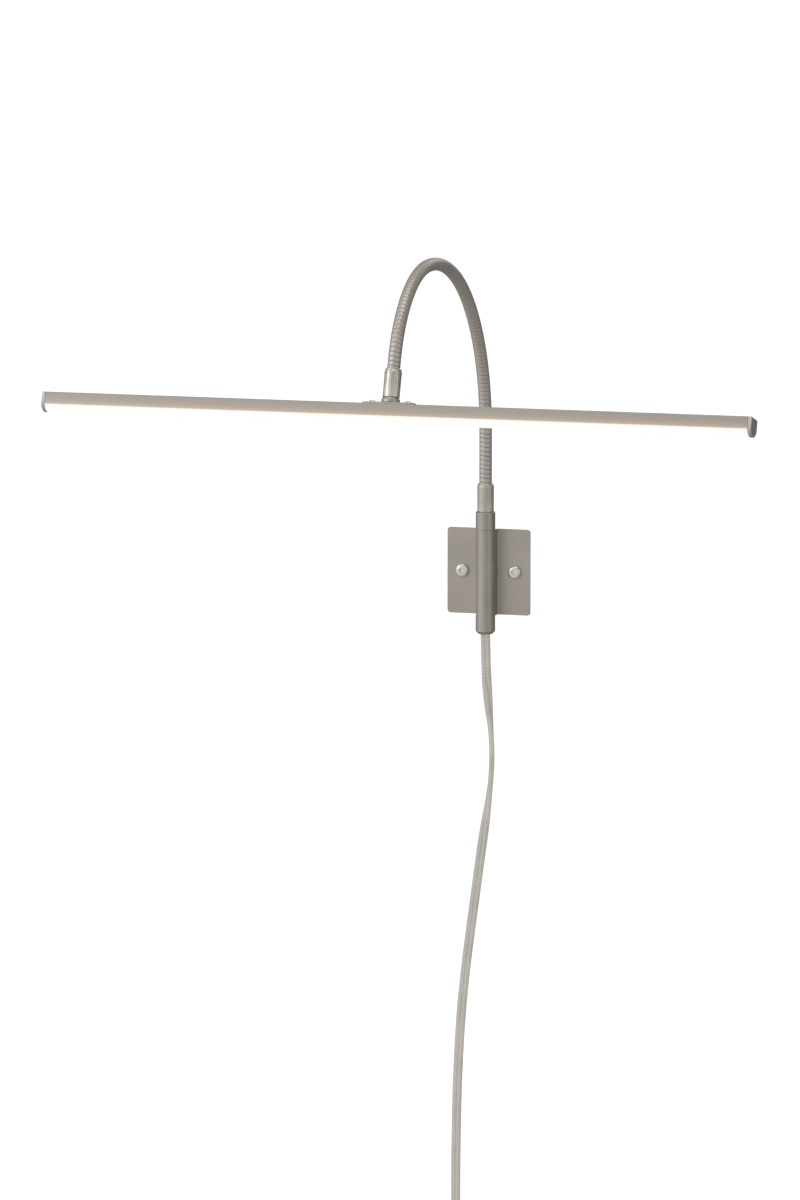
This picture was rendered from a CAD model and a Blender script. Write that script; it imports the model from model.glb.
"""Visible model of a plug-in picture light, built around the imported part.

A folded wall plate carries a gooseneck of wound conduit, which holds a slim glowing bar. A flat two-core cord
hangs from the plate, passes an inline switch and is put away in a round coil. Sizes are in millimetres in the
bar's, neck's and plate's own places. Mesh.build turns them into metres.
"""

import logging
import math
from dataclasses import dataclass, field
from enum import Enum
from typing import Optional, Sequence

import bmesh
import bpy
import numpy as np
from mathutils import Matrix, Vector


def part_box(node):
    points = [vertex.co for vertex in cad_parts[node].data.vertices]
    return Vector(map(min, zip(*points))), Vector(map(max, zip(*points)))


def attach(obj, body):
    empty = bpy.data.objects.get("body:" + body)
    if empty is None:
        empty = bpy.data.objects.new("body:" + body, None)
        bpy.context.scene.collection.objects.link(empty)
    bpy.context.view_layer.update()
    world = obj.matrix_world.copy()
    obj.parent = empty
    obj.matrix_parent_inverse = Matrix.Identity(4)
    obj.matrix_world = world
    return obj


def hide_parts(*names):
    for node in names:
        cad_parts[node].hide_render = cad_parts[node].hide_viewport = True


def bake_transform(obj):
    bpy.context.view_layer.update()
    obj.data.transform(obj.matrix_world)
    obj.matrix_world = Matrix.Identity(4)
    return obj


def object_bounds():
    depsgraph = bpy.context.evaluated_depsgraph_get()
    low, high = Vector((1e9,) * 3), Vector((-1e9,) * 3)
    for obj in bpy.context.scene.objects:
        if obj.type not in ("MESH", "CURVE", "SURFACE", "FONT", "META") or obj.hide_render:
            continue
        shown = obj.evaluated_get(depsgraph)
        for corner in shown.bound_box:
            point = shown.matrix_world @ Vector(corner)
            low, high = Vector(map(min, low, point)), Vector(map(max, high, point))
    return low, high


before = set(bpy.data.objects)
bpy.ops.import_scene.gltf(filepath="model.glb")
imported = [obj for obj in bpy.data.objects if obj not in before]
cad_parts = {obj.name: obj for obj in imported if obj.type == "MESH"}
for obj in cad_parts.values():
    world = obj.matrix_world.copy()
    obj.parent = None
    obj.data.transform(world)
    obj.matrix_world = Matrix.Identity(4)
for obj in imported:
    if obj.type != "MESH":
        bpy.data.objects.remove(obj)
CAD_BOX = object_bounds()

logging.basicConfig(level=logging.INFO, format="%(name)s: %(message)s")
log = logging.getLogger("picture_light")

MM = 0.001
TAU = 2 * math.pi
SHARP_ANGLE = math.radians(38)
SUPPORT = 0.06               # millimetres past a rounded corner to a point that keeps the side's shading flat
Array = np.ndarray
Colour = tuple[float, float, float]


# ---------- geometry ----------


class Ends(Enum):
    """How a stack of rings is closed at its two ends."""

    LOOP = "loop"      # the last ring joins the first
    FLAT = "flat"      # one face across each end
    POLE = "pole"      # a fan to the middle of each end ring


def box_mm(node: str) -> tuple[Array, Array]:
    """Lowest and highest corner of a CAD node, in millimetres."""
    low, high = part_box(node)
    return np.array(low) / MM, np.array(high) / MM


def turn(axis: str, degrees: float) -> Array:
    """Right-handed rotation about one axis.

    Args:
        axis: "x", "y" or "z".
        degrees: the angle.

    Returns:
        The 3 x 3 matrix.
    """
    c, s = math.cos(math.radians(degrees)), math.sin(math.radians(degrees))
    first, second = {"x": (1, 2), "y": (2, 0), "z": (0, 1)}[axis]
    matrix = np.eye(3)
    matrix[first, first] = matrix[second, second] = c
    matrix[second, first], matrix[first, second] = s, -s
    return matrix


def smooth(x: Array) -> Array:
    """Smooth step: 3x^2 - 2x^3 with x held between 0 and 1."""
    t = np.clip(x, 0, 1)
    return t * t * (3 - 2 * t)


def arc(centre: Sequence[float], radius: float, start: float, end: float, steps: int) -> Array:
    """Points on a circle from the angle start to end in degrees: centre + radius * (cos, sin)."""
    a = np.radians(np.linspace(start, end, steps))
    return np.array(centre) + radius * np.stack([np.cos(a), np.sin(a)], -1)


def rounded(corners: Sequence[Sequence[float]], radii: Sequence[float] | float, steps: int = 5) -> Array:
    """Closed outline with each corner rounded.

    A corner of half angle h between unit sides a and b gets an arc of radius r: it touches both sides at r
    / tan(h) from the corner, and its middle lies r / sin(h) along a + b.

    Args:
        corners: the outline's corners, in order.
        radii: one radius, or one for each corner; 0 keeps the corner.
        steps: points on each arc.

    Returns:
        The outline's points as an array of shape (n, 2). A point just beyond each end of an arc keeps the
        shading of the straight sides flat.
    """
    points = np.asarray(corners, float)
    sizes = np.broadcast_to(np.asarray(radii, float), len(points))
    made = []
    for i, corner in enumerate(points):
        back, ahead = points[i - 1] - corner, points[(i + 1) % len(points)] - corner
        a, b = back / np.linalg.norm(back), ahead / np.linalg.norm(ahead)
        half = math.acos(float(np.clip(a @ b, -1, 1))) / 2
        if sizes[i] < 1e-6 or half > math.pi / 2 - 1e-4:
            made.append(corner[None])
            continue
        middle = corner + (a + b) / np.linalg.norm(a + b) * sizes[i] / math.sin(half)
        from_angle = math.atan2(*(corner + a * sizes[i] / math.tan(half) - middle)[::-1])
        to_angle = math.atan2(*(corner + b * sizes[i] / math.tan(half) - middle)[::-1])
        sweep = (to_angle - from_angle + math.pi) % TAU - math.pi
        bend = arc(middle, sizes[i], math.degrees(from_angle), math.degrees(from_angle + sweep), steps)
        made += [bend[:1] + a * SUPPORT, bend, bend[-1:] + b * SUPPORT]
    return np.vstack(made)


def round_rect(half_x: float, half_y: float, radius: float, steps: int = 6) -> Array:
    """Rounded rectangle about the origin.

    Args:
        half_x: half of its size along the first axis.
        half_y: half of its size along the second.
        radius: the corners' radius.
        steps: points on each corner.

    Returns:
        4 * steps points, always, so that such rings can be stacked.
    """
    corners = [(half_x, half_y), (-half_x, half_y), (-half_x, -half_y), (half_x, -half_y)]
    quarters = [arc((math.copysign(half_x - radius, x), math.copysign(half_y - radius, y)), radius,
                    90 * i, 90 * (i + 1), steps) for i, (x, y) in enumerate(corners)]
    return np.vstack(quarters)


@dataclass
class Surface:
    """One closed shell: its points, its blocks of faces and what is stored at each point."""

    points: Array
    faces: list[Array]
    values: dict[str, Array] = field(default_factory=dict)

    def placed(self, origin: Sequence[float], matrix: Optional[Array] = None) -> "Surface":
        """The same shell turned by the matrix about its origin, then moved."""
        turned = self.points if matrix is None else self.points @ matrix.T
        return Surface(turned + np.asarray(origin, float), self.faces, self.values)

    def volume(self) -> float:
        """Signed volume, positive if the faces look outward: the sum of first . (next x after) / 6.

        Returns:
            The volume in cubic millimetres.
        """
        total = 0.0
        for block in self.faces:
            corners = self.points[block]
            total += np.einsum("ij,ikj->", corners[:, 0], np.cross(corners[:, 1:-1], corners[:, 2:])) / 6
        return total


def rings(grid: Array, ends: Ends, **values: Array) -> Surface:
    """Closed shell through a stack of rings.

    Args:
        grid: points of shape (rings, points round each ring, 3).
        ends: how the first and last ring are closed.
        values: numbers stored at the points, each of shape (rings, points round).

    Returns:
        The shell, with faces between neighbouring rings and its ends closed.
    """
    rows, cols = grid.shape[:2]
    row = np.arange(rows if ends is Ends.LOOP else rows - 1)
    i, j = (x.ravel() for x in np.meshgrid(row, np.arange(cols), indexing="ij"))
    after, beside = (i + 1) % rows, (j + 1) % cols
    faces = [np.stack([i * cols + j, i * cols + beside, after * cols + beside, after * cols + j], -1)]
    points = grid.reshape(-1, 3)
    stored = {name: np.broadcast_to(value, (rows, cols)).ravel() for name, value in values.items()}
    last = (rows - 1) * cols
    ring = np.arange(cols)
    if ends is Ends.FLAT:
        faces += [ring[::-1][None], ring[None] + last]
    elif ends is Ends.POLE:
        count = rows * cols
        points = np.vstack([points, grid[0].mean(0), grid[-1].mean(0)])
        near = np.roll(ring, -1)
        faces += [np.stack([near, ring, np.full(cols, count)], -1),
                  np.stack([ring + last, near + last, np.full(cols, count + 1)], -1)]
        stored = {name: np.append(v, [v[0], v[-1]]) for name, v in stored.items()}
    return Surface(points, faces, stored)


def lathe(profile: Array, steps: int = 64, ends: Ends = Ends.LOOP, swell: Array | float = 0.0) -> Surface:
    """Shell of revolution about Z: point(i, k) = ((r_i + swell_ik) cos a_k, (r_i + swell_ik) sin a_k, z_i).

    Args:
        profile: closed outline of (radius, height) points.
        steps: points round.
        ends: how the first and last ring are closed.
        swell: added to the radius, per point.

    Returns:
        The shell.
    """
    angle = np.arange(steps) * TAU / steps
    radius = profile[:, :1] + swell
    height = np.broadcast_to(profile[:, 1:], (len(profile), steps))
    return rings(np.stack([radius * np.cos(angle), radius * np.sin(angle), height], -1), ends)


def prism(outline: Array, start: float, end: float) -> Surface:
    """Outline of (y, z) points carried along X from start to end: point(i, k) = (x_i, y_k, z_k).

    Args:
        outline: the (y, z) points.
        start: x of the first end.
        end: x of the other.

    Returns:
        The shell.
    """
    flat = np.broadcast_to(outline, (2, *outline.shape))
    along = np.broadcast_to(np.array([start, end])[:, None, None], (2, len(outline), 1))
    return rings(np.concatenate([along, flat], -1), Ends.FLAT)


def stacked(levels: Sequence[tuple[float, float, float, float]], ends: Ends, steps: int = 6) -> Surface:
    """Shell through rounded rectangles, each given as (half width, half length, corner radius, height).

    Args:
        levels: the rectangles in order.
        ends: how the stack is closed.
        steps: points on each corner.

    Returns:
        The shell.
    """
    flat = np.stack([round_rect(x, y, r, steps) for x, y, r, _ in levels])
    height = np.broadcast_to(np.array([z for *_, z in levels])[:, None, None], (*flat.shape[:2], 1))
    return rings(np.concatenate([flat, height], -1), ends)


class Mesh:
    """Gathers closed shells and makes them one object that sits at the origin."""

    def __init__(self) -> None:
        """Starts with no shell."""
        self.shells: list[Surface] = []

    def add(self, *shells: Surface) -> "Mesh":
        """Adds shells and returns the mesh, so that calls can follow each other."""
        self.shells += shells
        return self

    def build(self, name: str) -> bpy.types.Object:
        """Makes the object in metres, with every shell facing outward and sharp edges kept sharp.

        Args:
            name: the piece's name.

        Returns:
            The new object, linked to the scene.
        """
        faces: list[list[int]] = []
        keys = sorted({key for shell in self.shells for key in shell.values})
        stored = {key: [] for key in keys}
        count = 0
        for shell in self.shells:
            step = 1 if shell.volume() > 0 else -1
            for block in shell.faces:
                faces += (block[:, ::step] + count).tolist()
            for key in keys:
                stored[key].append(shell.values.get(key, np.zeros(len(shell.points))))
            count += len(shell.points)
        mesh = bpy.data.meshes.new(name)
        mesh.from_pydata((np.vstack([s.points for s in self.shells]) * MM).tolist(), [], faces)
        for key in keys:
            attribute = mesh.attributes.new(key, "FLOAT", "POINT")
            attribute.data.foreach_set("value", np.concatenate(stored[key]).astype(np.float32))
        mesh.shade_smooth()
        mesh.set_sharp_from_angle(angle=SHARP_ANGLE)
        made = bpy.data.objects.new(name, mesh)
        bpy.context.scene.collection.objects.link(made)
        return made


def soften(piece: bpy.types.Object, width: float, segments: int = 2) -> bpy.types.Object:
    """Rounds a piece's edges with a bevel of that width in millimetres and keeps its flat faces flat.

    Args:
        piece: the piece, whose sharp edges are rounded.
        width: the bevel's width in millimetres.
        segments: faces across the bevel.

    Returns:
        The same piece.
    """
    piece.data.attributes.remove(piece.data.attributes["sharp_edge"])
    bevel = piece.modifiers.new("Rounded edges", "BEVEL")
    bevel.width = width * MM
    bevel.segments = segments
    bevel.limit_method = "ANGLE"
    bevel.angle_limit = SHARP_ANGLE
    bevel.harden_normals = True
    return piece


def pierce(piece: bpy.types.Object, cutters: Sequence[Surface]) -> bpy.types.Object:
    """Cuts shells out of a piece with an exact Boolean and keeps the result as its mesh.

    Args:
        piece: the piece to cut.
        cutters: closed shells that are taken away from it.

    Returns:
        The same piece with its new mesh.
    """
    tool = Mesh().add(*cutters).build("cutter")
    cut = piece.modifiers.new("Holes", "BOOLEAN")
    cut.object, cut.operation, cut.solver = tool, "DIFFERENCE", "EXACT"
    graph = bpy.context.evaluated_depsgraph_get()
    result = bpy.data.meshes.new_from_object(piece.evaluated_get(graph))
    piece.modifiers.clear()
    piece.data = result
    result.shade_smooth()
    result.set_sharp_from_angle(angle=SHARP_ANGLE)
    bpy.data.objects.remove(tool)
    return piece


# ---------- finishes ----------


class Effect(Enum):
    """What a finish's fine surface is made of."""

    GRAIN = "even fine grain"
    UPRIGHT = "fine upright lines"
    WEAVE = "woven threads"
    BANDS = "wound bands with dark grooves"
    STRANDS = "strands seen through clear plastic"
    GLOW = "light that shines through"
    LIT = "drawn lines, warm along the lit edge"


@dataclass(frozen=True)
class Finish:
    """A finish: two tones that mix over the surface, its gloss and its fine surface."""

    slot: str
    light: Colour
    dark: Colour
    rough: tuple[float, float]
    effect: Effect = Effect.GRAIN
    metallic: float = 0.0
    scale: float = 900.0
    bump: float = 0.1
    coat: float = 0.0


NICKEL = Finish("satin_nickel", (0.50, 0.468, 0.425), (0.41, 0.383, 0.345), (0.36, 0.46), Effect.UPRIGHT,
                1.0, bump=0.08)
TURNED_NICKEL = Finish("polished_nickel", (0.51, 0.475, 0.43), (0.40, 0.37, 0.335), (0.34, 0.44),
                       Effect.UPRIGHT, 1.0, bump=0.12)
CRIMPED_NICKEL = Finish("polished_nickel", (0.80, 0.76, 0.705), (0.47, 0.44, 0.40), (0.28, 0.38),
                        Effect.UPRIGHT, 1.0, bump=0.16)
CONDUIT = Finish("conduit", (0.62, 0.585, 0.54), (0.55, 0.515, 0.47), (0.42, 0.50), Effect.BANDS, 1.0, 1800,
                 0.04)
STEEL = Finish("steel", (0.83, 0.81, 0.78), (0.70, 0.68, 0.65), (0.22, 0.32), metallic=1.0, scale=1200,
               bump=0.03)
ALUMINIUM = Finish("aluminium", (0.485, 0.455, 0.41), (0.415, 0.388, 0.348), (0.44, 0.56), Effect.LIT, 1.0,
                   bump=0.06)
CAST_NICKEL = Finish("cap_nickel", (0.72, 0.70, 0.66), (0.60, 0.58, 0.545), (0.34, 0.46), metallic=1.0,
                     scale=1300, bump=0.12)
FROSTED = Finish("diffuser", (0.60, 0.60, 0.60), (0.57, 0.57, 0.565), (0.48, 0.56), Effect.GLOW, bump=0.03)
CLEAR_CORD = Finish("cord", (0.56, 0.535, 0.485), (0.36, 0.34, 0.30), (0.24, 0.36), Effect.STRANDS,
                    bump=0.15, coat=0.5)
CLEAR_PLASTIC = Finish("plug", (0.66, 0.645, 0.60), (0.56, 0.545, 0.50), (0.26, 0.36), scale=700, bump=0.08,
                       coat=0.3)
BUSH = Finish("bush", (0.60, 0.585, 0.54), (0.50, 0.485, 0.44), (0.35, 0.45), scale=800, bump=0.1)
BRASS = Finish("blades", (0.78, 0.62, 0.34), (0.62, 0.47, 0.24), (0.20, 0.34), metallic=1.0, scale=1000,
               bump=0.06)
STRAP = Finish("tie", (0.045, 0.045, 0.048), (0.015, 0.015, 0.017), (0.75, 0.9), Effect.WEAVE, scale=1.0,
               bump=0.6)
SWITCH_SHELL = Finish("switch", (0.045, 0.045, 0.047), (0.025, 0.025, 0.027), (0.42, 0.56), scale=1600,
                      bump=0.25)
ROCKER_CAP = Finish("rocker", (0.72, 0.72, 0.70), (0.64, 0.64, 0.62), (0.34, 0.44), scale=1600, bump=0.12)
BOARD = Finish("board", (0.86, 0.86, 0.84), (0.76, 0.76, 0.73), (0.35, 0.5), scale=600, bump=0.05)
PHOSPHOR = Finish("leds", (0.95, 0.72, 0.22), (0.90, 0.62, 0.15), (0.25, 0.35), scale=900, bump=0.05)
CHIPS = Finish("parts", (0.05, 0.05, 0.05), (0.03, 0.03, 0.03), (0.45, 0.6), scale=1500, bump=0.15)
CORES = Finish("lead", (0.06, 0.06, 0.06), (0.035, 0.035, 0.035), (0.3, 0.4), scale=900, bump=0.08)
SPLICE = Finish("splice", (0.08, 0.20, 0.42), (0.05, 0.14, 0.32), (0.28, 0.36), scale=800, bump=0.08)


class Nodes:
    """Adds nodes to one tree; each call makes a node, sets it and links its inputs."""

    def __init__(self, tree: bpy.types.NodeTree) -> None:
        """Keeps the tree that the nodes go into."""
        self.tree = tree

    def add(self, kind: str, inputs: dict | None = None, **settings: object) -> bpy.types.Node:
        """Adds one node.

        Args:
            kind: the node's type, such as "ShaderNodeMath".
            inputs: a value or an output socket for each input, by name or number.
            settings: attributes of the node itself.

        Returns:
            The new node.
        """
        made = self.tree.nodes.new(kind)
        for name, value in settings.items():
            setattr(made, name, value)
        for key, value in (inputs or {}).items():
            if isinstance(value, bpy.types.NodeSocket):
                self.tree.links.new(value, made.inputs[key])
            else:
                made.inputs[key].default_value = value
        return made

    def math(self, operation: str, *values: object) -> bpy.types.NodeSocket:
        """Adds a Math node over up to three values or sockets and returns its output."""
        return self.add("ShaderNodeMath", dict(enumerate(values)), operation=operation).outputs[0]

    def spread(self, value: object, low: float, high: float, to_low: float,
               to_high: float) -> bpy.types.NodeSocket:
        """Maps low..high to to_low..to_high, held at the ends, and returns the output."""
        inputs = dict(enumerate((value, low, high, to_low, to_high)))
        return self.add("ShaderNodeMapRange", inputs, clamp=True).outputs[0]

    def mix(self, factor: object, first: object, second: object) -> bpy.types.NodeSocket:
        """Mixes two colours and returns the output."""
        inputs = {0: factor, 6: first, 7: second}
        return self.add("ShaderNodeMix", inputs, data_type="RGBA").outputs[2]

    def stored(self, name: str) -> bpy.types.NodeSocket:
        """The number stored at the points under that name."""
        return self.add("ShaderNodeAttribute", attribute_name=name).outputs["Fac"]


class Paintbox:
    """Makes each finish's material once, from shared groups of nodes for the fine surface."""

    COAT_ROUGHNESS = 0.12
    SMUDGE_SCALE = 45.0
    GRAIN_SHARE = 0.55
    BUMP_DISTANCE = 0.0002
    DRAWN_LINES = (300.0, 1800.0, 1800.0)
    UPRIGHT_LINES = (900.0, 900.0, 30.0)
    THREAD = 0.0009
    GLOW_STRENGTH = 0.37
    LIT_STRENGTH = 0.2
    GROOVE_COLOUR = (0.16, 0.145, 0.13, 1)

    def __init__(self) -> None:
        """Builds the shared groups."""
        self.made: dict[Finish, bpy.types.Material] = {}
        self.grain = self.group("Fine grain", ("Scale",), self.fill_grain)
        self.smudge = self.group("Smudges", ("Scale",), self.fill_smudge)
        self.lines = self.group("Drawn lines", ("X", "Y", "Z"), self.fill_lines)
        self.weave = self.group("Woven threads", ("Thread",), self.fill_weave)

    @staticmethod
    def group(name: str, numbers: Sequence[str], fill: object) -> bpy.types.NodeTree:
        """Makes a node group with a vector input, the named numbers and one output called Value.

        Args:
            name: the group's name.
            numbers: the names of its number inputs.
            fill: adds the group's nodes and returns the socket for Value.

        Returns:
            The group.
        """
        tree = bpy.data.node_groups.new(name, "ShaderNodeTree")
        tree.interface.new_socket("Vector", in_out="INPUT", socket_type="NodeSocketVector")
        for number in numbers:
            tree.interface.new_socket(number, in_out="INPUT", socket_type="NodeSocketFloat")
        tree.interface.new_socket("Value", in_out="OUTPUT", socket_type="NodeSocketFloat")
        nodes = Nodes(tree)
        given = nodes.add("NodeGroupInput")
        nodes.add("NodeGroupOutput", {0: fill(nodes, given.outputs)})
        return tree

    @staticmethod
    def fill_grain(nodes: Nodes, given: bpy.types.NodeOutputs) -> bpy.types.NodeSocket:
        """Even fine noise."""
        inputs = {"Vector": given[0], "Scale": given[1], "Detail": 3.0, "Roughness": 0.6}
        return nodes.add("ShaderNodeTexNoise", inputs).outputs[0]

    @staticmethod
    def fill_smudge(nodes: Nodes, given: bpy.types.NodeOutputs) -> bpy.types.NodeSocket:
        """Wide soft patches, with more contrast than plain noise."""
        inputs = {"Vector": given[0], "Scale": given[1], "Detail": 2.0, "Distortion": 0.4}
        return nodes.spread(nodes.add("ShaderNodeTexNoise", inputs).outputs[0], 0.35, 0.65, 0.0, 1.0)

    @staticmethod
    def fill_lines(nodes: Nodes, given: bpy.types.NodeOutputs) -> bpy.types.NodeSocket:
        """Noise with its own fineness along each axis, which reads as lines along the coarsest one.

        Args:
            nodes: the group's nodes.
            given: the group's inputs.

        Returns:
            The noise.
        """
        scale = nodes.add("ShaderNodeCombineXYZ", {i: given[i + 1] for i in range(3)}).outputs[0]
        vector = nodes.add("ShaderNodeVectorMath", {0: given[0], 1: scale}, operation="MULTIPLY").outputs[0]
        return nodes.add("ShaderNodeTexNoise", {"Vector": vector, "Scale": 1.0, "Detail": 3.0}).outputs[0]

    @staticmethod
    def fill_weave(nodes: Nodes, given: bpy.types.NodeOutputs) -> bpy.types.NodeSocket:
        """Two crossed sets of bands, one thread apart, of which the higher shows.

        Args:
            nodes: the group's nodes.
            given: the group's inputs.

        Returns:
            The higher band.
        """
        scale = nodes.math("DIVIDE", 0.05, given[1])
        inputs = {"Vector": given[0], "Scale": scale}
        bands = [nodes.add("ShaderNodeTexWave", inputs, bands_direction=way).outputs[1] for way in ("X", "Z")]
        return nodes.math("MAXIMUM", *bands)

    def place(self, nodes: Nodes, tree: bpy.types.NodeTree, *numbers: float) -> bpy.types.NodeSocket:
        """Places a group on the piece's own coordinates, with its numbers, and returns its value.

        Args:
            nodes: the material's nodes.
            tree: the group.
            numbers: the group's numbers, in order.

        Returns:
            The group's value.
        """
        vector = nodes.add("ShaderNodeTexCoord").outputs["Object"]
        made = nodes.add("ShaderNodeGroup", node_tree=tree)
        nodes.tree.links.new(vector, made.inputs[0])
        for key, number in enumerate(numbers, 1):
            made.inputs[key].default_value = number
        return made.outputs[0]

    def fine(self, nodes: Nodes, finish: Finish) -> bpy.types.NodeSocket:
        """The value of a finish's fine surface.

        Args:
            nodes: the material's nodes.
            finish: the finish.

        Returns:
            The socket that carries it.
        """
        if finish.effect is Effect.LIT:
            return self.place(nodes, self.lines, *self.DRAWN_LINES)
        if finish.effect is Effect.UPRIGHT:
            return self.place(nodes, self.lines, *self.UPRIGHT_LINES)
        if finish.effect is Effect.WEAVE:
            return self.place(nodes, self.weave, self.THREAD)
        return self.place(nodes, self.grain, finish.scale)

    def material(self, finish: Finish) -> bpy.types.Material:
        """The finish's material, made on its first use.

        Args:
            finish: what the material is made from.

        Returns:
            A Principled material whose tone, gloss and relief vary over the surface.
        """
        if finish in self.made:
            return self.made[finish]
        material = bpy.data.materials.new(finish.slot)
        material.use_nodes = True
        nodes = Nodes(material.node_tree)
        shader = material.node_tree.nodes["Principled BSDF"]
        shader.inputs["Metallic"].default_value = finish.metallic
        shader.inputs["Coat Weight"].default_value = finish.coat
        shader.inputs["Coat Roughness"].default_value = self.COAT_ROUGHNESS
        fine = self.fine(nodes, finish)
        smudge = self.place(nodes, self.smudge, self.SMUDGE_SCALE)
        patches = nodes.math("MULTIPLY", smudge, 1 - self.GRAIN_SHARE)
        tone = nodes.math("MULTIPLY_ADD", fine, self.GRAIN_SHARE, patches)
        colour = nodes.mix(tone, (*finish.dark, 1), (*finish.light, 1))
        height = fine
        rough = nodes.spread(tone, 0.2, 0.8, *finish.rough)
        if finish.effect is Effect.BANDS:
            groove = nodes.stored("groove")
            colour = nodes.mix(nodes.spread(groove, 0.12, 0.75, 0.0, 0.55), colour, self.GROOVE_COLOUR)
            rough = nodes.math("MULTIPLY_ADD", groove, 0.3, rough)
        elif finish.effect is Effect.STRANDS:
            colour, height = self.strands(nodes, colour)
        elif finish.effect is Effect.GLOW:
            warm = nodes.mix(nodes.stored("edge"), (1.0, 0.995, 0.985, 1), (1.0, 0.87, 0.72, 1))
            nodes.tree.links.new(warm, shader.inputs["Emission Color"])
            shader.inputs["Emission Strength"].default_value = self.GLOW_STRENGTH
        elif finish.effect is Effect.LIT:
            lit = nodes.stored("lit")
            colour = nodes.mix(lit, colour, (0.60, 0.50, 0.40, 1))
            glow = nodes.mix(lit, (0, 0, 0, 1), (1.0, 0.72, 0.50, 1))
            nodes.tree.links.new(glow, shader.inputs["Emission Color"])
            shader.inputs["Emission Strength"].default_value = self.LIT_STRENGTH
        relief = {"Strength": finish.bump, "Distance": self.BUMP_DISTANCE, "Height": height}
        bump = nodes.add("ShaderNodeBump", relief)
        nodes.tree.links.new(colour, shader.inputs["Base Color"])
        nodes.tree.links.new(rough, shader.inputs["Roughness"])
        nodes.tree.links.new(bump.outputs[0], shader.inputs["Normal"])
        self.made[finish] = material
        return material

    @staticmethod
    def strands(nodes: Nodes,
                colour: bpy.types.NodeSocket) -> tuple[bpy.types.NodeSocket, bpy.types.NodeSocket]:
        """Twisted strands in each of the cord's two cores, seen through its clear plastic.

        The stored numbers are the place across the cord from -1 to 1 and the place along it in millimetres.
        Each core's middle lies at 0.45 either side. A strand's tone is a sine of along + across, so it runs
        slanted.

        Args:
            nodes: the material's nodes.
            colour: the plastic's own colour.

        Returns:
            The colour, and the height for the relief.
        """
        across, along = nodes.stored("across"), nodes.stored("along")
        offset = nodes.math("ABSOLUTE", nodes.math("SUBTRACT", nodes.math("ABSOLUTE", across), 0.45))
        core = nodes.spread(offset, 0.12, 0.34, 1.0, 0.0)
        slant = nodes.math("MULTIPLY_ADD", across, 9.0, nodes.math("MULTIPLY", along, 2.6))
        strand = nodes.spread(nodes.math("SINE", slant), -1.0, 1.0, 0.0, 1.0)
        wire = nodes.mix(strand, (0.30, 0.285, 0.26, 1), (0.66, 0.64, 0.60, 1))
        seam = nodes.spread(nodes.math("ABSOLUTE", across), 0.0, 0.14, 0.55, 0.0)
        body = nodes.mix(seam, colour, (0.26, 0.245, 0.22, 1))
        return nodes.mix(nodes.math("MULTIPLY", core, 0.75), body, wire), nodes.math("MULTIPLY", strand, core)


# ---------- making and placing ----------


@dataclass
class Workshop:
    """Gives each piece its finish, its body and the CAD nodes that it stands for."""

    paints: Paintbox

    def fit(self, piece: bpy.types.Object, finish: Finish, body: str, *nodes: str) -> bpy.types.Object:
        """Dresses a piece, lets it ride on a body and hides the nodes that it replaces.

        Args:
            piece: the piece.
            finish: its finish.
            body: the body that it rides on, or nothing if it is blended.
            nodes: the CAD nodes that it stands for.

        Returns:
            The same piece.
        """
        piece.data.materials.clear()
        piece.data.materials.append(self.paints.material(finish))
        if nodes:
            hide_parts(*nodes)
        if body:
            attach(piece, body)
        log.info("%s: %d faces, for %s", piece.name, len(piece.data.polygons), ", ".join(nodes) or "no node")
        return piece

    def dress_node(self, finish: Finish, *nodes: str) -> None:
        """Gives carried-over CAD nodes a finish through their own material slots."""
        for name in nodes:
            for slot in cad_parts[name].material_slots:
                slot.material = self.paints.material(finish)
            log.info("%s: kept, in %s", name, finish.slot)


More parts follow.
